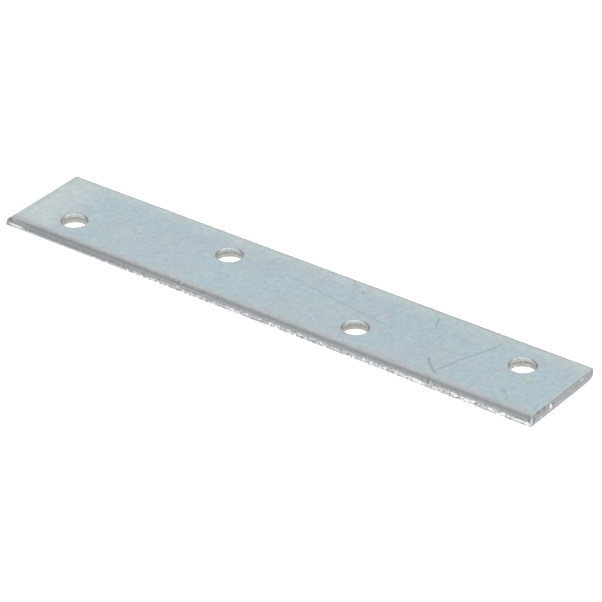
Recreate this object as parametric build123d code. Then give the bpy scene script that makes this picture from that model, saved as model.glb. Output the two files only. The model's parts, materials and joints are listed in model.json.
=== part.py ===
from build123d import *

import os

os.makedirs("parts", exist_ok=True)

# A mending plate: one strip of zinc-plated steel, slit along its sides, cropped at its ends and
# punched with four screw holes in a zigzag. X runs along the plate and Y across it, Z is up, and
# the origin is the middle of the underside. Sizes are in millimetres.

# The strip
plate_length = 120.0
plate_width = 20.0
plate_thickness = 2.0
corner_break = 0.2

# Shearing leaves three bands on an edge. The blade first draws one corner over in a soft roll,
# then it cuts a smooth upright band, and then the metal tears and slopes back to the far corner.

# The long edges, slit with a worn blade: a broad roll, a narrow cut and a tall tear. Strips are
# slit from a sheet one after another, so the front edge has its roll on top and the back edge
# has it underneath.
side_roll_width = 1.1
side_roll_depth = 0.65
side_cut_height = 0.35
side_tear_setback = 0.12

# The ends, cropped with a sharper one
end_roll_width = 0.6
end_roll_depth = 0.4
end_cut_height = 0.6
end_tear_setback = 0.1

# The screw holes, punched from the top, so that the roll is round their upper rims. Counted from
# the -X end, the first and third lie towards the front edge, and the others towards the back.
hole_diameter = 5.0
hole_end_distance = 11.0
hole_inner_spacing = 34.4
hole_stagger = 3.6
hole_roll_width = 0.4
hole_roll_depth = 0.45
hole_cut_height = 0.9
hole_tear_setback = 0.12

# How far each tool solid runs past the metal that it shapes
overrun = 1.0


def sheared_half(span, roll_width, roll_depth, cut_height, tear_setback):
    # Half of a cross-section that is span wide, from its middle to a sheared edge on the left
    # with the roll on top
    half_span = span / 2
    cut_top = plate_thickness - roll_depth
    cut_bottom = cut_top - cut_height
    roll_start = half_span - roll_width
    foot = half_span - tear_setback
    with BuildSketch() as half:
        with BuildLine():
            Line((0, plate_thickness), (-roll_start, plate_thickness))
            EllipticalCenterArc((-roll_start, cut_top), roll_width, roll_depth, 90, arc_size=90)
            Polyline((-half_span, cut_top), (-half_span, cut_bottom), (-foot, 0), (0, 0))
            Line((0, 0), (0, plate_thickness))
        make_face()
    return half.sketch


def long_slab():
    # As wide as the plate and longer than it, with the front edge turned over to give the back one
    front = sheared_half(
        plate_width,
        side_roll_width,
        side_roll_depth,
        side_cut_height,
        side_tear_setback,
    )
    back = Pos(0, plate_thickness) * Rot(0, 0, 180) * front
    depth = plate_length + 2 * overrun
    return extrude(Plane.YZ.offset(-depth / 2) * (front + back), depth, dir=(1, 0, 0))


def cross_slab():
    # As long as the plate and wider than it, with the same edge at both ends
    left = sheared_half(
        plate_length,
        end_roll_width,
        end_roll_depth,
        end_cut_height,
        end_tear_setback,
    )
    right = mirror(left, about=Plane.YZ)
    depth = plate_width + 2 * overrun
    return extrude(Plane.XZ.offset(-depth / 2) * (left + right), depth, dir=(0, -1, 0))


def corner_breaker():
    # A diamond that passes just inside the four upright corner edges and breaks them
    reach = (plate_length + plate_width) / 2 - corner_break
    diamond = Polyline((reach, 0), (0, reach), (-reach, 0), (0, -reach), close=True)
    return extrude(Pos(0, 0, -overrun) * make_face(diamond), plate_thickness + 2 * overrun)


def sheared_strip():
    # What the two slabs and the diamond share: the bands are mitred at the corners
    return long_slab() & cross_slab() & corner_breaker()


def hole_cutter():
    # What a hole takes out of the plate, turned about the hole's axis: the upright cut, with the
    # rolled rim opening above it and the tear widening below it
    radius = hole_diameter / 2
    cut_top = plate_thickness - hole_roll_depth
    cut_bottom = cut_top - hole_cut_height
    tear_radius = radius + hole_tear_setback
    rim_radius = radius + hole_roll_width
    top = plate_thickness + overrun
    bottom = -overrun
    with BuildSketch(Plane.XZ) as half_profile:
        with BuildLine():
            Polyline((0, top), (0, bottom), (tear_radius, bottom), (tear_radius, 0))
            Polyline((tear_radius, 0), (radius, cut_bottom), (radius, cut_top))
            EllipticalCenterArc((rim_radius, cut_top), hole_roll_width, hole_roll_depth, 90, arc_size=90)
            Polyline((rim_radius, plate_thickness), (rim_radius, top), (0, top))
        make_face()
    return revolve(half_profile.sketch, Axis.Z)


def hole_centres():
    outer_x = plate_length / 2 - hole_end_distance
    inner_x = hole_inner_spacing / 2
    return [
        (-outer_x, -hole_stagger),
        (-inner_x, hole_stagger),
        (inner_x, -hole_stagger),
        (outer_x, hole_stagger),
    ]


def mending_plate():
    plate = sheared_strip()
    for x, y in hole_centres():
        plate -= Pos(x, y, 0) * hole_cutter()
    return plate


plate = mending_plate()
plate.label = "plate"
export_step(plate, "parts/plate.step")
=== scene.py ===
import json
import math

import bmesh
import bpy
from mathutils import Matrix, Vector


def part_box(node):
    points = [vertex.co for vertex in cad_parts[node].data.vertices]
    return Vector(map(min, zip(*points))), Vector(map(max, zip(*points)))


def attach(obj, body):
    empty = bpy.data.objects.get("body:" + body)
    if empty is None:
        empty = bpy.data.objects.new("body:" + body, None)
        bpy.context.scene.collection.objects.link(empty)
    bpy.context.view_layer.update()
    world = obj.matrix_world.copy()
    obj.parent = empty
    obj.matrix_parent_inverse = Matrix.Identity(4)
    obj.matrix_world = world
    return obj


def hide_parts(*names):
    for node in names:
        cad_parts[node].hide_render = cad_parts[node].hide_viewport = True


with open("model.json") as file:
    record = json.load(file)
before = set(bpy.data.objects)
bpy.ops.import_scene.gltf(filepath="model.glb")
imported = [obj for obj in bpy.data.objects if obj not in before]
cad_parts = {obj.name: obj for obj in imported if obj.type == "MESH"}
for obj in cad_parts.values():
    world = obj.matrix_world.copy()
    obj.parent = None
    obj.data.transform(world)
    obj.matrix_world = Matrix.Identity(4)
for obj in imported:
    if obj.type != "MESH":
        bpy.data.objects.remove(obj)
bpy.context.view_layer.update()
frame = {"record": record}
print("frame loaded")

mm = 0.001


def fromHex(code):
    # sRGB hex to the linear values that a shader takes
    parts = [int(code[i:i + 2], 16) / 255 for i in (1, 3, 5)]
    return [p / 12.92 if p <= 0.04045 else ((p + 0.055) / 1.055) ** 2.4 for p in parts] + [1]


def addNode(tree, kind, inputs=None, **settings):
    # one node: its settings, then each input as a value or as a link from another socket
    node = tree.nodes.new(kind)
    for name, value in settings.items():
        setattr(node, name, value)
    for name, value in (inputs or {}).items():
        if isinstance(value, bpy.types.NodeSocket):
            tree.links.new(value, node.inputs[name])
        else:
            node.inputs[name].default_value = value
    return node


def pick(test, kind="VERT"):
    # in edit mode, selects the vertices, edges or faces that pass the test, and nothing else
    bpy.ops.mesh.select_mode(type=kind)
    bpy.ops.mesh.select_all(action="DESELECT")
    mesh = bmesh.from_edit_mesh(bpy.context.object.data)
    for part in {"VERT": mesh.verts, "EDGE": mesh.edges, "FACE": mesh.faces}[kind]:
        if test(part):
            part.select_set(True)
    mesh.select_flush_mode()
    bmesh.update_edit_mesh(bpy.context.object.data)


# The plate is modelled in millimetres and scaled to metres when it is finished. Every edge was
# sheared: a roll, then a smooth cut, then torn metal. The back edge is turned over, roll beneath.
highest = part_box("plate")[1]
halfLength, halfWidth, top = highest.x / mm, highest.y / mm, highest.z / mm
bores = [m for m in frame["record"]["mounts"] if m["kind"] == "bore"]
holeCentres = [(m["pos_m"][0] / mm, m["pos_m"][1] / mm) for m in bores]
holeRadius = bores[0]["dims"]["r_mm"]

plateShape = {
    "cornerRadius": 0.1,
    "cornerSteps": 4,
    "side": {"rollIn": 0.9, "rollDeep": 0.65, "cut": 0.35, "lean": 0.1},
    "end": {"rollIn": 0.6, "rollDeep": 0.4, "cut": 0.6, "lean": 0.1},
    "hole": {"rollIn": 0.3, "rollDeep": 0.65, "cut": 0.65, "lean": 0.12},
    "rim": 0.3,                # flat ring that keeps the faces' shading flat
    "wallDepth": 0.2,          # what is nearer than this to an outline or a bore is its wall
    "rollSteps": 8,
    "middleSteps": 6,
    "lengthCuts": (9, 9, 7),   # points along the sides, each round of cuts within the one before
    "widthCuts": (9, 11),
    "holeSides": 128,
    "holeTurn": 1,             # degrees
    "holeCutSteps": 2,
    "holeTearSteps": 6,
    "smoothAngle": 50,         # degrees
}


def cutLevels(edge):
    # the heights at which a smooth cut starts and ends, with the roll above and the tear below
    start = top - edge["rollDeep"]
    return start, start - edge["cut"]


def setback(edge, height):
    # how far a sheared wall lies behind its outermost part at a height
    cutTop, tearTop = cutLevels(edge)
    if height > cutTop:
        level = (height - cutTop) / edge["rollDeep"]
        return edge["rollIn"] * (1 - math.sqrt(max(0, 1 - level ** 2)))
    return edge["lean"] * max(0, 1 - height / tearTop)


def rollHeights(edge):
    # levels down a roll, closer together where it is nearly flat
    steps = plateShape["rollSteps"]
    return [top - edge["rollDeep"] * (1 - math.cos(math.pi / 2 * k / steps)) for k in range(steps + 1)]


def evenHeights(start, end, steps):
    # levels from start down to end, without the start
    return [start + (end - start) * (k + 1) / steps for k in range(steps)]


def growRings(rings):
    # pulls the selected loop through rings of (centre x, centre y, reach in x, reach in y, height)
    for last, ring in zip(rings, rings[1:]):
        step = (ring[0] - last[0], ring[1] - last[1], ring[4] - last[4])
        bpy.ops.mesh.extrude_region_move(TRANSFORM_OT_translate={"value": step})
        bpy.ops.transform.resize(value=(ring[2] / last[2], ring[3] / last[3], 1),
                                 center_override=(ring[0], ring[1], 0))


def outlineRings():
    # the outline from the top face over the edges to the underside, the back edge turned over
    s = plateShape
    upper = rollHeights(s["side"])
    lower = [top - z for z in reversed(upper)]
    rings = []
    for z in upper + evenHeights(upper[-1], lower[0], s["middleSteps"]) + lower[1:]:
        x = halfLength - setback(s["end"], z)
        front = setback(s["side"], z) - halfWidth
        back = halfWidth - setback(s["side"], top - z)
        rings.append((0, (front + back) / 2, x, (back - front) / 2, z))
    # and a flat ring inside the first and inside the last
    for place in (0, -1):
        x, y, reachX, reachY, z = rings[place]
        flat = (x, y, reachX - s["rim"], reachY - s["rim"], z)
        rings = [flat] + rings if place == 0 else rings + [flat]
    return rings


def makeOutline():
    s = plateShape
    rings = outlineRings()
    bpy.ops.object.select_all(action="DESELECT")
    bpy.ops.mesh.primitive_plane_add(size=2)
    bpy.context.object.name = "mendingPlate"
    bpy.ops.object.mode_set(mode="EDIT")
    bpy.ops.transform.resize(value=(rings[0][2], rings[0][3], 1), center_override=(0, 0, 0))
    bpy.ops.transform.translate(value=(0, rings[0][1], top))
    bpy.ops.mesh.bevel(offset=s["cornerRadius"], segments=s["cornerSteps"], affect="VERTICES")
    bpy.ops.mesh.delete(type="ONLY_FACE")
    pick(lambda e: abs(e.verts[0].co.x - e.verts[1].co.x) > 1, "EDGE")
    for cuts in s["lengthCuts"]:
        bpy.ops.mesh.subdivide(number_cuts=cuts)
    pick(lambda e: abs(e.verts[0].co.y - e.verts[1].co.y) > 1, "EDGE")
    for cuts in s["widthCuts"]:
        bpy.ops.mesh.subdivide(number_cuts=cuts)
    bpy.ops.mesh.select_mode(type="VERT")
    bpy.ops.mesh.select_all(action="SELECT")
    growRings(rings)


def makeHoles():
    # one hole is drawn down from its rim, and the others are copies of it
    s = plateShape
    roll = rollHeights(s["hole"])
    tearTop = roll[-1] - s["hole"]["cut"]
    levels = roll + evenHeights(roll[-1], tearTop, s["holeCutSteps"])
    levels += evenHeights(tearTop, 0, s["holeTearSteps"])
    x, y = holeCentres[0]
    radii = [holeRadius + setback(s["hole"], z) for z in levels]
    radii = [radii[0] + s["rim"]] + radii + [radii[-1] + s["rim"]]
    levels = [top] + levels + [0]
    bpy.ops.mesh.select_all(action="DESELECT")
    bpy.ops.mesh.primitive_circle_add(vertices=s["holeSides"], radius=radii[0], location=(x, y, top))
    # a small turn, so that no two points of a hole are level, which upsets the fill
    bpy.ops.transform.rotate(value=math.radians(s["holeTurn"]), orient_axis="Z",
                             center_override=(x, y, 0))
    growRings([(x, y, r, r, z) for r, z in zip(radii, levels)])
    for further in holeCentres[1:]:
        pick(lambda v: math.hypot(v.co.x - x, v.co.y - y) < radii[0] + 0.1)
        bpy.ops.mesh.duplicate_move(TRANSFORM_OT_translate={
            "value": (further[0] - x, further[1] - y, 0)})


def fillFaces():
    # the top face and the underside, each with the holes left open
    for height in (top, 0):
        pick(lambda e: e.is_boundary and all(abs(v.co.z - height) < 1e-4 for v in e.verts), "EDGE")
        bpy.ops.mesh.fill(use_beauty=True)
    bpy.ops.mesh.select_all(action="SELECT")
    bpy.ops.mesh.normals_make_consistent(inside=False)


def wallAt(x, y):
    # which upright wall a place is on, or none
    depth = plateShape["wallDepth"]
    if any(math.hypot(x - cx, y - cy) < holeRadius + depth for cx, cy in holeCentres):
        return "hole"
    if abs(x) > halfLength - depth:
        return "end"
    if abs(y) > halfWidth - depth:
        return "front" if y < 0 else "back"
    return None


def edgeOf(wall):
    # the back edge is a side too, though turned over
    return plateShape["side" if wall in ("front", "back") else wall]


def heightOn(wall, height):
    # the back edge is turned over, so its bands are counted down from the top face
    return top - height if wall == "back" else height


def bandAt(wall, height):
    # 0 face and roll, 1 smooth cut, 2 torn: the three material slots
    height = heightOn(wall, height)
    cutTop, tearTop = cutLevels(edgeOf(wall))
    if height > cutTop:
        return 0
    return 1 if height > tearTop else 2


def paintBands(plate):
    # gives each face the material slot of its band
    for slot in range(3):
        plate.data.materials.append(None)

    def band(face):
        centre = face.calc_center_median()
        wall = wallAt(centre.x, centre.y)
        return bandAt(wall, centre.z) if wall and 0.001 < centre.z < top - 0.001 else 0

    for slot in (1, 2):
        pick(lambda f: band(f) == slot, "FACE")
        plate.active_material_index = slot
        bpy.ops.object.material_slot_assign()


def displace(plate, name, weight, strength, direction="NORMAL", texture=None, middle=0.0):
    # moves the vertices by strength times their weight, from 0 to 1, and times a texture
    group = plate.vertex_groups.new(name=name)
    for vertex in plate.data.vertices:
        share = weight(vertex.co)
        if share > 0:
            group.add([vertex.index], min(1, share), "REPLACE")
    modifier = plate.modifiers.new(name, "DISPLACE")
    modifier.vertex_group = name
    modifier.direction = direction
    modifier.strength = strength
    modifier.mid_level = middle
    modifier.texture = texture
    modifier.texture_coords = "LOCAL"
    bpy.ops.object.modifier_apply(modifier=name)
    plate.vertex_groups.clear()


def newTexture(kind, size, **settings):
    texture = bpy.data.textures.new(kind, kind)
    texture.noise_scale = size
    for name, value in settings.items():
        setattr(texture, name, value)
    return texture


def between(value, low, high):
    # 0 at low, 1 at high, and straight between them
    return min(1, max(0, (value - low) / (high - low)))


wornShear = {
    "rollSpread": 0.6,             # the front roll is this much broader at the right end
    "rollSpreadFades": (0.35, 6),  # from this far behind the roll to this far in from the edge
    "tearDrop": 0.55,              # the front tear starts this much lower at the left end
    "tearDropEnds": (-44, 5),      # where along X that is full, and where it ends
    "waveSize": 3.5,               # the line between the smooth cut and the torn band wanders
    "waveHeight": 0.4,
    "grainSize": 0.45,             # torn grain, coarse and fine
    "grainDepth": 0.16,
    "chipSize": 0.3,
    "chipDepth": 0.08,
    "tearBlend": 0.12,             # this far below the cut the grain is full
    "holeShare": 0.4,              # the holes' torn part is finer than the outline's
    "footSpread": 0.2,             # the front's foot comes out towards the right end
    "footSpreadFrom": (26, 42),    # where along X it starts and is full
    "footSpreadEnd": 0.3,          # it takes this much of the end's foot with it
    "backLift": 0.17,              # and so does the back's upper corner
    "backLiftDepth": 0.5,
    "backLiftLeft": 0.35,          # the share of it at the left end
    "backLiftFull": 30,            # where along X it is full
    "squareFrom": (-52, 4),        # the front roll fades out left of this, the ends' beyond this
    "squareLeft": 0.5,             # the left end's roll only by half
    "tongue": 1.15,                # the foot of the front left corner is drawn out
    "tongueSize": 2.5,
    "tongueFull": 0.2,             # the height up to which it is full
    "farCorner": 0.15,             # the back right corner is worn back
    "farCornerSize": 3,
    "markCore": 0.3,               # the share of a mark's reach that has its full depth
}
# each its middle and reach in millimetres, how deep it is, its tone and how strong that is
marks = (
    ((37.7, -10, 1.3), (0.3, 1.2, 0.7), 0.15, "gap", 0.45),         # a nick in the front edge
    ((36.5, -10, 1.15), (0.22, 1.0, 0.6), 0.05, "gap", 0.3),
    ((35.6, -10, 0.5), (1.6, 0.6, 0.42), 0, "flake", 0.6),          # a smooth place beside it
    ((33.8, -10, 0.4), (0.3, 0.6, 0.6), 0, "flake", 0.8),
    ((38.4, -10, 1.1), (0.2, 1.0, 0.8), 0, "flake", 0.35),
    ((48.1, -10, 0.5), (0.3, 0.6, 0.3), 0.1, "gap", 0.5),
    ((53.3, -10, 0.75), (0.3, 0.6, 0.25), 0.1, "gap", 0.6),
    ((57.6, -10, 0.5), (2.3, 0.6, 0.25), -0.05, "flake", 0.8),      # a raised strip by the corner
    ((57.2, -10, 0.95), (2.2, 0.6, 0.14), 0.1, "gap", 0.6),
    ((-18.9, -10, 1.75), (0.2, 1.2, 0.4), 0.05, "gap", 0.35),       # strokes across the front roll
    ((-18.2, -10, 1.95), (0.2, 1.2, 0.4), 0.05, "flake", 0.3),
    ((-19, -10, 0.9), (0.6, 0.6, 0.2), 0, "flake", 0.7),
    ((-13.3, -10, 1.7), (0.35, 0.8, 0.25), 0.02, "gap", 0.2),
    ((-9.7, -10, 1.6), (0.35, 0.8, 0.3), 0.02, "gap", 0.2),
    ((-58.2, -10, 0.7), (2.3, 0.7, 0.28), 0, "flake", 0.8),         # along the drawn-out corner
    ((-59.5, -10, 1.65), (0.5, 0.6, 0.4), 0.05, "gap", 0.7),
    # a painted highlight down the front right corner, between painted shade, with small dents
    ((59.3, -10, 1.3), (0.3, 0.5, 0.7), 0.05, "gap", 0.6),          # the front right corner
    ((60, -9.95, 1.0), (0.2, 0.2, 0.9), 0, "flake", 0.7),
    ((60, -9.2, 1.2), (0.6, 0.25, 0.8), 0.05, "gap", 0.6),
    ((60, -7.7, 1.85), (0.7, 0.8, 0.2), 0.08, "gap", 0.4),          # down the right end
    ((60, -5.9, 1.8), (0.7, 0.7, 0.25), 0.08, "gap", 0.4),
    ((60, -3.9, 1.25), (0.7, 0.45, 0.6), 0.15, "flake", 0.9),
    ((60, -3.2, 1.5), (0.7, 0.25, 0.4), 0.1, "gap", 0.7),
    ((60, 4.2, 1.45), (0.7, 0.4, 0.25), 0.08, "gap", 0.45),
    ((60, 6.1, 1.7), (0.7, 0.6, 0.2), 0, "flake", 0.4),
    ((60, 7.7, 1.6), (0.7, 0.5, 0.25), 0.08, "gap", 0.35),
    ((60, 9.4, 1.4), (0.7, 0.9, 0.8), 0, "gap", 0.35),
)
# painted shade and highlights on each hole's wall: where round it, in radians, at which height, its
# reach, its tone and how strong
holeShadeAndHighlights = (
    (0.64, 1.1, (0.8, 0.8, 0.9), "gap", 0.5),            # painted shade on one side
    (2.85, 1.6, (0.9, 0.9, 0.25), "flake", 0.9),         # painted highlights high up at the back
    (1.65, 1.6, (0.9, 0.9, 0.25), "flake", 0.9),
    (2.25, 1.55, (0.6, 0.6, 0.2), "flake", 0.8),
)
for x, y in holeCentres:
    for turn, height, reach, tone, share in holeShadeAndHighlights:
        middle = (x + holeRadius * math.cos(turn), y + holeRadius * math.sin(turn), height)
        marks += ((middle, reach, 0, tone, share),)


def peakAt(height, edge):
    # 1 where the tear starts, and from there down to 0 at the foot and at the top of the cut
    cutTop, tearTop = cutLevels(edge)
    return between(height, 0, tearTop) if height < tearTop else between(height, cutTop, tearTop)


def rollSpread(at):
    # broadens the front roll towards the right end
    edge, inward = plateShape["side"], at.y + halfWidth
    if at.z < cutLevels(edge)[0]:
        return 0
    start = edge["rollIn"]
    behind, inner = wornShear["rollSpreadFades"]
    share = between(inward, 0, start) if inward < start else between(inward, inner, start + behind)
    return share * between(at.x, -halfLength, halfLength)


def leftShare(at):
    # 1 where the front's tear is low, at the left, and 0 where it isn't
    full, none = wornShear["tearDropEnds"]
    return between(at.x, none, full)


def tearDrop(at):
    # lowers the top of the front's torn band towards the left end
    if wallAt(at.x, at.y) != "front":
        return 0
    return peakAt(at.z, edgeOf("front")) * leftShare(at)


def wandering(at):
    # moves the line between the cut and the torn band up and down, on every wall
    wall = wallAt(at.x, at.y)
    if not wall:
        return 0
    share = peakAt(heightOn(wall, at.z), edgeOf(wall))
    return share * (wornShear["holeShare"] if wall == "hole" else 1)


def torn(at):
    # the torn bands alone
    wall = wallAt(at.x, at.y)
    if not wall:
        return 0
    start = cutLevels(edgeOf(wall))[1]
    if wall == "front":
        start -= wornShear["tearDrop"] * leftShare(at)
    share = between(heightOn(wall, at.z), start, start - wornShear["tearBlend"])
    return share * (wornShear["holeShare"] if wall == "hole" else 1)


def footSpread(at):
    # the front wall, and what of the right end goes with it
    atEnd = abs(at.x) > halfLength - wornShear["footSpreadEnd"]
    atFront = at.y < plateShape["wallDepth"] - halfWidth
    if wallAt(at.x, at.y) != "front" and not (atEnd and atFront):
        return 0
    tearTop = cutLevels(plateShape["side"])[1]
    return between(at.z, tearTop, 0) * between(at.x, *wornShear["footSpreadFrom"])


def backLift(at):
    # the upper half of the back edge, more and more towards the right
    if at.y < halfWidth - wornShear["backLiftDepth"]:
        return 0
    least = wornShear["backLiftLeft"]
    along = least + (1 - least) * between(at.x, -halfLength, wornShear["backLiftFull"])
    return between(at.z, top / 2, top) * along


def squareFront(at):
    # the front roll fades out towards the front left corner
    edge, inward = plateShape["side"], at.y + halfWidth
    if inward > edge["rollIn"] + 0.01 or at.z < cutLevels(edge)[0]:
        return 0
    return inward / edge["rollIn"] * between(at.x, wornShear["squareFrom"][0], -halfLength)


def squareEnd(at):
    # the ends' rolls fade out, the right one towards the back and the left one towards the front
    edge, inward = plateShape["end"], halfLength - abs(at.x)
    if inward > edge["rollIn"] + 0.01 or at.z < cutLevels(edge)[0]:
        return 0
    along, most = (at.y, 1) if at.x > 0 else (-at.y, wornShear["squareLeft"])
    return inward / edge["rollIn"] * most * between(along, wornShear["squareFrom"][1], halfWidth)


def squareRight(at):
    return squareEnd(at) if at.x > 0 else 0


def squareLeft(at):
    return squareEnd(at) if at.x < 0 else 0


def tongue(at):
    # the front left corner, most of all at its foot
    away = math.hypot(at.x + halfLength, at.y + halfWidth)
    return between(away, wornShear["tongueSize"], 0) * between(at.z, top, wornShear["tongueFull"])


def farCorner(at):
    return between(math.hypot(at.x - halfLength, at.y - halfWidth), wornShear["farCornerSize"], 0)


def markDepth(at):
    # in millimetres here, so it is displaced by a strength of 1
    deepest = 0
    for middle, reach, depth, tone, share in marks:
        away = math.dist([a / r for a, r in zip(at, reach)], [m / r for m, r in zip(middle, reach)])
        deepest = max(deepest, depth * between(away, 1, wornShear["markCore"]))
    return deepest


makeOutline()
makeHoles()
fillFaces()
plate = bpy.context.object
paintBands(plate)
bpy.ops.object.mode_set(mode="OBJECT")
print("plate modelled:", len(plate.data.polygons), "faces")

w = wornShear
displace(plate, "squareFront", squareFront, -plateShape["side"]["rollIn"], "Y")
displace(plate, "squareRight", squareRight, plateShape["end"]["rollIn"], "X")
displace(plate, "squareLeft", squareLeft, -plateShape["end"]["rollIn"], "X")
displace(plate, "rollSpread", rollSpread, w["rollSpread"], "Y")
displace(plate, "tearDrop", tearDrop, -w["tearDrop"], "Z")
displace(plate, "wandering", wandering, w["waveHeight"], "Z",
         newTexture("CLOUDS", w["waveSize"], noise_depth=3), 0.5)
displace(plate, "coarseTear", torn, w["grainDepth"], "NORMAL",
         newTexture("CLOUDS", w["grainSize"], noise_depth=2), 0.6)
displace(plate, "chips", torn, w["chipDepth"], "NORMAL", newTexture("VORONOI", w["chipSize"]), 0.5)
displace(plate, "footSpread", footSpread, -w["footSpread"], "Y")
displace(plate, "backLift", backLift, w["backLift"], "Y")
displace(plate, "tongue", tongue, -w["tongue"], "X")
displace(plate, "farCorner", farCorner, -w["farCorner"], "X")
displace(plate, "marks", markDepth, -1)
# what the grain pushed below the foot goes back to it, so that the plate lies flat
bpy.ops.object.mode_set(mode="EDIT")
pick(lambda v: v.co.z < 0)
bpy.ops.transform.resize(value=(1, 1, 0), center_override=(0, 0, 0))
bpy.ops.object.mode_set(mode="OBJECT")
print("torn edges made")

plate.scale = (mm, mm, mm)
bpy.ops.object.transform_apply(location=False, rotation=False, scale=True)
bpy.ops.object.shade_smooth_by_angle(angle=math.radians(plateShape["smoothAngle"]))
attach(plate, "root")
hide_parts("plate")


# Materials: bright zinc plating with a clear-blue passivation, on sheared cold-rolled strip.
# A layer is its tone, what it follows, from where to where in millimetres, and how strong.
zinc = {
    "tones": {
        "blue": "#AFC3CA",        # thin interference film of the passivation, in patches
        "lilac": "#B3C0C8",
        "green": "#B5C4C4",
        "border": "#B9BFC1",      # along the front and back the film is thinner and greyer
        "backBorder": "#BFC9CA",
        "pale": "#C2CCCD",        # the left end is creamier
        "drawn": "#A8ACAF",       # painted shade on the rolls, greyer than the face, darker at the left
        "drawnLeft": "#A0A3A6",
        "endRoll": "#B9BDBF",     # the ends' rolls are brighter, under a thin painted highlight
        "glint": "#D8DCDE",
        "line": "#9C9996",        # painted reflection of the dim horizon: a thin dull line along the back edge
        "holeRoll": "#BDC6CA",    # each hole's roll, and a painted highlight on its lower part
        "rim": "#FAFCF6",
        "scratch": "#8A989C",
    },
    "patches": (                  # tone, size in millimetres, where in the noise it starts and is full
        ("lilac", 11.0, 0.42, 0.62),
        ("green", 4.0, 0.5, 0.75),
    ),
    "drawnFade": (-45, -15),      # along X, from the darker tone to the other
    "layers": (
        ("pale", "X", -48, -56, 0.9),
        ("border", "Y", -7, -9, 0.9),
        ("backBorder", "Y", 6, 9.2, 0.8),
        ("border", "around", 4.0, 3.1, 0.5),
        # painted reflection of the dim horizon along the top of the back edge
        ("line", "Y", 9.5, 9.8, 0.4),
        ("border", "X", -58.2, -59.2, 0.6),
        # painted shade on the front roll and on the rolls round the outline
        ("drawn", "Y", -8.3, -9.6, 0.55),
        ("drawn", "outside", 1.93, 1.6, 0.8),
        # a thin painted highlight along the end's top edge
        ("glint", "X", 59.3, 59.4, 0.3),
        ("endRoll", "X", 59.5, 59.65, 0.9),
        ("holeRoll", "inHole", 2.0, 1.9, 0.9),
        # painted highlight low on each hole's roll
        ("rim", "inHole", 1.7, 1.55, 0.6),
    ),
    "holeReach": (0.35, 0.45),    # a hole's layers end this far outside its bore
    "grain": (0.8, 0.07),         # how large, in millimetres, and how strong; coarser than the
                                  # plating's own crystals, which are too fine to show
    "roughness": (0.27, 0.33),
    "skin": (1.2, 0.025),         # the rolled strip's faint unevenness: how large and how high
    "waver": (0.7, 0.6),          # the scratches': how fine, and how far in millimetres
}
sheared = {
    "tones": {
        "cut": "#AAADAF",         # smooth grey, darker towards the left
        "cutLeft": "#9B9E9F",
        "holeWall": "#B4B5B2",    # the holes' walls are paler
        "holeTorn": "#CFD0CD",
        "torn": "#D8D8DC",        # bright broken metal: pale flakes between dark lines
        "endTorn": "#BCBDC0",     # greyer at the ends
        "flake": "#FFFFFF",
        "gap": "#66696B",
    },
    "cutLayers": (
        ("cutLeft", "X", -15, -45, 1.0),
        ("holeWall", "around", 3.5, 3.4, 1.0),
    ),
    "tornLayers": (
        ("endTorn", "X", 59.3, 59.6, 1.0),
        ("endTorn", "X", -59.3, -59.6, 1.0),
        ("holeTorn", "around", 3.5, 3.4, 1.0),
    ),
    "brokenLayers": (             # by each flake's chance, and by how near its seam is
        ("flake", "chance", 0.5, 0.7, 1.0),
        ("gap", "seam", 0.12, 0.0, 0.75),
    ),
    "flakes": (                   # along and up in millimetres, where along X they start and are full
        (0.6, 0.9, -46, -34),
        (1.3, 0.5, 22, 40),
    ),
    "flakeBend": (1.5, (0.5, 0.5, 0.25)),    # how fine, and how far in millimetres
    "whole": (("X", 59.3, 59.6), ("around", 3.5, 3.4)),    # the ends and the holes are less broken
    "wholeShare": 0.65,
    "mottle": (0.5, 0.2),         # how large, in millimetres, and how strong
    "drawnOut": 0.4,              # upwards, as the blade went
    "cutRoughness": 0.3,
    "tornRoughness": 0.35,
}
# each a line of points in millimetres on the top face, how broad it is and how dark
scratches = (
    (((-2, 3.9), (0.3, 3.4), (4.8, 2.6), (9.1, 2.1)), 0.35, 0.25),
    (((9.1, 2.1), (13, 1.5), (15.7, 1.1), (18.3, 0.6), (20.8, 0.3)), 0.35, 0.33),
    (((20.8, 0.3), (28.2, -0.4), (54, -0.8)), 0.25, 0.15),
    (((18.4, 2.4), (17.6, 1.4), (18.6, 0.5)), 0.3, 0.35),
    (((16.6, -8.3), (16.1, -5.9)), 0.35, 0.35),
    (((8, 8.7), (9.2, 8.4)), 0.4, 0.3),
    (((41.8, 5.6), (41, 3.5), (39.2, -0.8), (37.4, -7)), 0.35, 0.5),
    (((42.2, 7.4), (41.8, 5.6)), 0.35, 0.2),
    (((34.1, -4.5), (35.4, -5.9), (37.7, -7.9)), 0.4, 0.65),
    (((27.9, 7.6), (29.2, 4.6)), 0.35, 0.4),
    (((-9.2, 5.2), (-7.3, 2.4)), 0.3, 0.15),
    (((11, 7.4), (11.4, 6.9)), 0.5, 0.35),
    (((6.6, 6.7), (7, 6.2)), 0.4, 0.2),
    (((51, -5.5), (51.6, -6)), 0.6, 0.5),
    (((52.8, -7.3), (53.1, -7.6)), 0.5, 0.4),
)


def newMaterial(name):
    material = bpy.data.materials.new(name)
    material.use_nodes = True
    material.node_tree.nodes.clear()
    return material, material.node_tree


def finishMaterial(tree, **inputs):
    shader = addNode(tree, "ShaderNodeBsdfPrincipled", inputs)
    addNode(tree, "ShaderNodeOutputMaterial", {"Surface": shader.outputs["BSDF"]})


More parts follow.
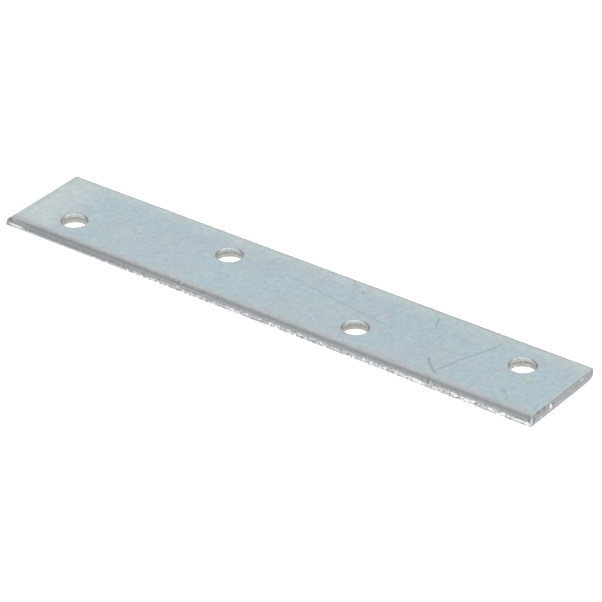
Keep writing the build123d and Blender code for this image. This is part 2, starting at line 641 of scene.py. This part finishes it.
def placeInMillimetres(tree):
    # the place, and what layers may follow: its parts and how far it is from the nearest hole's axis
    place = addNode(tree, "ShaderNodeTexCoord").outputs["Object"]
    place = addNode(tree, "ShaderNodeVectorMath", {"Vector": place, "Scale": 1 / mm},
                    operation="SCALE").outputs["Vector"]
    parts = addNode(tree, "ShaderNodeSeparateXYZ", {"Vector": place}).outputs
    flat = addNode(tree, "ShaderNodeCombineXYZ", {"X": parts["X"], "Y": parts["Y"]}).outputs["Vector"]
    around = 100.0
    for centre in holeCentres:
        away = addNode(tree, "ShaderNodeVectorMath", {0: flat, 1: (*centre, 0)},
                       operation="DISTANCE").outputs["Value"]
        around = addNode(tree, "ShaderNodeMath", {0: around, 1: away}, operation="MINIMUM").outputs[0]
    follow = {"X": parts["X"], "Y": parts["Y"], "Z": parts["Z"], "flat": flat, "around": around}
    return place, follow


def linearTones(piece):
    return {name: fromHex(code) for name, code in piece["tones"].items()}


def speckle(tree, place, colour, size, depth):
    # makes a colour a little lighter and darker in soft spots
    cloud = addNode(tree, "ShaderNodeTexNoise", {"Vector": place, "Scale": 1 / size, "Detail": 3})
    level = addNode(tree, "ShaderNodeMapRange", {
        "Value": cloud.outputs["Fac"], "From Min": 0.3, "From Max": 0.7,
        "To Min": 1 - depth, "To Max": 1 + depth}).outputs["Result"]
    return addNode(tree, "ShaderNodeVectorMath", {0: colour, "Scale": level},
                   operation="SCALE").outputs["Vector"]


def blend(tree, colour, layers, follow, tones):
    # lays each layer's tone over the colour; a tone is a colour or another node's socket
    for tone, along, low, high, most in layers:
        share = addNode(tree, "ShaderNodeMapRange", {
            "Value": follow[along], "From Min": low, "From Max": high, "To Max": most},
            interpolation_type="SMOOTHSTEP").outputs["Result"]
        colour = addNode(tree, "ShaderNodeMix", {0: share, 6: colour, 7: tones[tone]},
                         data_type="RGBA").outputs[2]
    return colour


def addMarks(tree, place, colour):
    # the marks' tones, a little beyond their dents
    tones = linearTones(sheared)
    for middle, reach, depth, tone, most in marks:
        scaled = addNode(tree, "ShaderNodeVectorMath", {0: place, 1: reach},
                         operation="DIVIDE").outputs["Vector"]
        centre = [m / r for m, r in zip(middle, reach)]
        away = addNode(tree, "ShaderNodeVectorMath", {0: scaled, 1: centre},
                       operation="DISTANCE").outputs["Value"]
        share = addNode(tree, "ShaderNodeMapRange", {
            "Value": away, "From Min": 1.05, "From Max": 0.6, "To Max": most}).outputs["Result"]
        colour = addNode(tree, "ShaderNodeMix", {0: share, 6: colour, 7: tones[tone]},
                         data_type="RGBA").outputs[2]
    return colour


def scratchShare(tree, follow):
    # how much of a scratch is at a place: the distance to the nearest of its straight parts, in
    # places shaken a little so that the lines waver
    fineness, far = zinc["waver"]
    flat = follow["flat"]
    shake = addNode(tree, "ShaderNodeTexNoise", {"Vector": flat, "Scale": fineness}).outputs["Color"]
    shake = addNode(tree, "ShaderNodeVectorMath", {0: shake, 1: (0.5, 0.5, 0.5)},
                    operation="SUBTRACT").outputs["Vector"]
    flat = addNode(tree, "ShaderNodeVectorMath", {0: shake, 1: (far, far, 0), 2: flat},
                   operation="MULTIPLY_ADD").outputs["Vector"]
    share = 0.0
    for points, width, most in scratches:
        for start, end in zip(points, points[1:]):
            along = Vector((end[0] - start[0], end[1] - start[1], 0))
            reach = addNode(tree, "ShaderNodeVectorMath", {0: flat, 1: (*start, 0)},
                            operation="SUBTRACT").outputs["Vector"]
            passed = addNode(tree, "ShaderNodeVectorMath", {0: reach, 1: along / along.length_squared},
                             operation="DOT_PRODUCT").outputs["Value"]
            passed = addNode(tree, "ShaderNodeClamp", {"Value": passed}).outputs["Result"]
            foot = addNode(tree, "ShaderNodeVectorMath", {0: along, "Scale": passed},
                           operation="SCALE").outputs["Vector"]
            gap = addNode(tree, "ShaderNodeVectorMath", {0: reach, 1: foot},
                          operation="DISTANCE").outputs["Value"]
            line = addNode(tree, "ShaderNodeMapRange", {
                "Value": gap, "From Min": 0.2 * width, "From Max": width,
                "To Min": most, "To Max": 0.0}).outputs["Result"]
            share = addNode(tree, "ShaderNodeMath", {0: share, 1: line}, operation="MAXIMUM").outputs[0]
    onTop = addNode(tree, "ShaderNodeMath", {0: follow["Z"], 1: top / 2},
                    operation="GREATER_THAN").outputs[0]
    return addNode(tree, "ShaderNodeMath", {0: share, 1: onTop}, operation="MULTIPLY").outputs[0]


def heightsInAndOut(tree, follow):
    # two heights for layers to follow, one that counts in the holes and one that counts outside
    # them: elsewhere, and on the underside, each is far above the plate
    far = 9.0
    under = addNode(tree, "ShaderNodeMapRange", {
        "Value": follow["Z"], "From Min": 0.1, "From Max": 0.02, "To Max": far}).outputs["Result"]
    height = addNode(tree, "ShaderNodeMath", {0: follow["Z"], 1: under}, operation="ADD").outputs[0]
    start, end = zinc["holeReach"]
    lift = addNode(tree, "ShaderNodeMapRange", {
        "Value": follow["around"], "From Min": holeRadius + start, "From Max": holeRadius + end,
        "To Max": far}).outputs["Result"]
    inHole = addNode(tree, "ShaderNodeMath", {0: height, 1: lift}, operation="ADD").outputs[0]
    lift = addNode(tree, "ShaderNodeMath", {0: far, 1: lift}, operation="SUBTRACT").outputs[0]
    outside = addNode(tree, "ShaderNodeMath", {0: height, 1: lift}, operation="ADD").outputs[0]
    return inHole, outside


def zincFace():
    # thin bright zinc: a soft metallic sheen, with pale blue, lilac and green clouds from the film,
    # plain grey with painted shade on the rolls, and painted highlights in the holes and along the end
    material, tree = newMaterial("bluePassivatedZinc")
    place, follow = placeInMillimetres(tree)
    tones = linearTones(zinc)
    colour = tones["blue"]
    for other, size, low, high in zinc["patches"]:
        cloud = addNode(tree, "ShaderNodeTexNoise", {"Vector": place, "Scale": 1 / size, "Detail": 4})
        share = addNode(tree, "ShaderNodeMapRange", {
            "Value": cloud.outputs["Fac"], "From Min": low, "From Max": high},
            interpolation_type="SMOOTHSTEP").outputs["Result"]
        colour = addNode(tree, "ShaderNodeMix", {0: share, 6: colour, 7: tones[other]},
                         data_type="RGBA").outputs[2]
    follow["inHole"], follow["outside"] = heightsInAndOut(tree, follow)
    start, end = zinc["drawnFade"]
    share = addNode(tree, "ShaderNodeMapRange", {
        "Value": follow["X"], "From Min": start, "From Max": end}).outputs["Result"]
    tones["drawn"] = addNode(tree, "ShaderNodeMix", {
        0: share, 6: tones["drawnLeft"], 7: tones["drawn"]}, data_type="RGBA").outputs[2]
    colour = blend(tree, colour, zinc["layers"], follow, tones)
    share = scratchShare(tree, follow)
    colour = addNode(tree, "ShaderNodeMix", {0: share, 6: colour, 7: tones["scratch"]},
                     data_type="RGBA").outputs[2]
    colour = addMarks(tree, place, colour)
    colour = speckle(tree, place, colour, *zinc["grain"])
    size, height = zinc["skin"]
    uneven = addNode(tree, "ShaderNodeTexNoise", {
        "Vector": place, "Scale": 1 / size, "Detail": 3}).outputs["Fac"]
    low, high = zinc["roughness"]
    rough = addNode(tree, "ShaderNodeMapRange", {
        "Value": uneven, "From Min": 0.3, "From Max": 0.7,
        "To Min": low, "To Max": high}).outputs["Result"]
    skin = addNode(tree, "ShaderNodeBump", {"Height": uneven, "Distance": height * mm}).outputs["Normal"]
    finishMaterial(tree, **{"Base Color": colour, "Metallic": 1.0, "Roughness": rough, "Normal": skin})
    return material


def cutZinc():
    # zinc over the blade's smooth cut: plain grey metal with faint upright streaks
    material, tree = newMaterial("shearedZinc")
    place, follow = placeInMillimetres(tree)
    tones = linearTones(sheared)
    colour = blend(tree, tones["cut"], sheared["cutLayers"], follow, tones)
    streaks = addNode(tree, "ShaderNodeVectorMath", {0: place, 1: (1, 1, sheared["drawnOut"])},
                      operation="MULTIPLY").outputs["Vector"]
    colour = speckle(tree, streaks, colour, *sheared["mottle"])
    colour = addMarks(tree, place, colour)
    finishMaterial(tree, **{"Base Color": colour, "Metallic": 1.0,
                            "Roughness": sheared["cutRoughness"]})
    return material


def tornZinc():
    # zinc over torn steel: bright flakes that glitter between dark gaps
    material, tree = newMaterial("tornZinc")
    place, follow = placeInMillimetres(tree)
    tones = linearTones(sheared)
    base = blend(tree, tones["torn"], sheared["tornLayers"], follow, tones)
    fineness, far = sheared["flakeBend"]
    shake = addNode(tree, "ShaderNodeTexNoise", {
        "Vector": place, "Scale": fineness, "Detail": 2}).outputs["Color"]
    bent = addNode(tree, "ShaderNodeVectorMath", {0: shake, 1: far, 2: place},
                   operation="MULTIPLY_ADD").outputs["Vector"]
    colour = base
    for along, up, start, full in sheared["flakes"]:
        scaled = addNode(tree, "ShaderNodeVectorMath", {0: bent, 1: (1 / along, 1 / along, 1 / up)},
                         operation="MULTIPLY").outputs["Vector"]
        cells = addNode(tree, "ShaderNodeTexVoronoi", {"Vector": scaled, "Scale": 1.0}).outputs["Color"]
        follow["chance"] = addNode(tree, "ShaderNodeSeparateXYZ", {"Vector": cells}).outputs["X"]
        follow["seam"] = addNode(tree, "ShaderNodeTexVoronoi", {"Vector": scaled, "Scale": 1.0},
                                 feature="DISTANCE_TO_EDGE").outputs["Distance"]
        broken = blend(tree, base, sheared["brokenLayers"], follow, tones)
        share = addNode(tree, "ShaderNodeMapRange", {
            "Value": follow["X"], "From Min": start, "From Max": full},
            interpolation_type="SMOOTHSTEP").outputs["Result"]
        colour = addNode(tree, "ShaderNodeMix", {0: share, 6: colour, 7: broken},
                         data_type="RGBA").outputs[2]
    for along, low, high in sheared["whole"]:
        share = addNode(tree, "ShaderNodeMapRange", {
            "Value": follow[along], "From Min": low, "From Max": high,
            "To Max": sheared["wholeShare"]}).outputs["Result"]
        colour = addNode(tree, "ShaderNodeMix", {0: share, 6: colour, 7: base},
                         data_type="RGBA").outputs[2]
    colour = speckle(tree, place, colour, *zinc["grain"])
    colour = addMarks(tree, place, colour)
    finishMaterial(tree, **{"Base Color": colour, "Metallic": 1.0,
                            "Roughness": sheared["tornRoughness"]})
    return material


for slot, maker in enumerate((zincFace, cutZinc, tornZinc)):
    plate.data.materials[slot] = maker()
print("materials made")


# Floor, light and camera
studio = {
    "dim": 0.72,
    "panels": (               # direction, where it starts and is full (as cosines), how much it adds
        ((-0.51, 0.66, 0.56), 0.72, 0.95, 0.33),     # the bright back of the light tent
        ((0.75, -0.65, 0.15), 0.2, 0.75, 0.7),       # a broad white card low at the right
        ((-0.45, 0.88, 0.05), 0.9, 0.98, -0.4),      # the darker hem of the tent's back
    ),
    "floorSize": 4,           # metres
    "floorDrop": 0.02,        # millimetres below the plate, so that the two don't share a plane
    "floorColour": "#D8D8D8",
    # what the floor adds where the camera and reflections see it: white, with the shadow kept
    "floorGlow": {"Is Camera Ray": 0.85, "Is Glossy Ray": 0.35, "Is Transmission Ray": 0.35},
}


def makeFloor():
    bpy.ops.mesh.primitive_plane_add(size=studio["floorSize"], location=(0, 0, -studio["floorDrop"] * mm))
    floor = bpy.context.object
    floor.name = "floor"
    material, tree = newMaterial("whitePaperSweep")
    path = addNode(tree, "ShaderNodeLightPath").outputs
    glow = 0.0
    for ray, level in studio["floorGlow"].items():
        glow = addNode(tree, "ShaderNodeMath", {0: path[ray], 1: level, 2: glow},
                       operation="MULTIPLY_ADD").outputs[0]
    paper = addNode(tree, "ShaderNodeBsdfDiffuse", {"Color": fromHex(studio["floorColour"])})
    light = addNode(tree, "ShaderNodeEmission", {"Color": (1, 1, 1, 1), "Strength": glow})
    both = addNode(tree, "ShaderNodeAddShader", {0: paper.outputs[0], 1: light.outputs[0]})
    addNode(tree, "ShaderNodeOutputMaterial", {"Surface": both.outputs[0]})
    floor.data.materials.append(material)


def makeWorld():
    # a plain tent, white where the camera looks straight at it
    world = bpy.data.worlds.new("lightTent")
    bpy.context.scene.world = world
    world.use_nodes = True
    tree = world.node_tree
    tree.nodes.clear()
    direction = addNode(tree, "ShaderNodeTexCoord").outputs["Generated"]
    strength = studio["dim"]
    for towards, low, high, extra in studio["panels"]:
        cosine = addNode(tree, "ShaderNodeVectorMath", {0: direction, 1: Vector(towards).normalized()},
                         operation="DOT_PRODUCT").outputs["Value"]
        panel = addNode(tree, "ShaderNodeMapRange", {
            "Value": cosine, "From Min": low, "From Max": high, "To Max": extra},
            interpolation_type="SMOOTHSTEP").outputs["Result"]
        strength = addNode(tree, "ShaderNodeMath", {0: strength, 1: panel}, operation="ADD").outputs[0]
    seen = addNode(tree, "ShaderNodeLightPath").outputs["Is Camera Ray"]
    level = addNode(tree, "ShaderNodeMix", {0: seen, 2: strength, 3: 1.0}).outputs[0]
    light = addNode(tree, "ShaderNodeBackground", {"Color": (1, 1, 1, 1), "Strength": level})
    addNode(tree, "ShaderNodeOutputWorld", {"Surface": light.outputs[0]})


cameraSetup = {
    "target": (2.72, -0.70, 1.0),     # millimetres, as the distance and the lens are
    "azimuth": 36.92,                 # degrees, as the next two are
    "elevation": 31.16,
    "roll": -0.46,
    "distance": 704.9,
    "lens": 228.6,
    "sensor": 36,
    "clip": (0.01, 20),               # metres
}


def makeCamera():
    c = cameraSetup
    a, e = math.radians(c["azimuth"]), math.radians(c["elevation"])
    back = Vector((math.sin(a) * math.cos(e), -math.cos(a) * math.cos(e), math.sin(e)))
    bpy.ops.object.camera_add()
    camera = bpy.context.object
    camera.location = (Vector(c["target"]) + back * c["distance"]) * mm
    turn = back.to_track_quat("Z", "Y").to_matrix() @ Matrix.Rotation(math.radians(c["roll"]), 3, "Z")
    camera.rotation_euler = turn.to_euler()
    camera.data.lens = c["lens"]
    camera.data.sensor_width = c["sensor"]
    camera.data.clip_start, camera.data.clip_end = c["clip"]
    bpy.context.scene.camera = camera


makeFloor()
makeWorld()
makeCamera()
bpy.context.scene.view_settings.view_transform = "Standard"
print("floor, light and camera set")
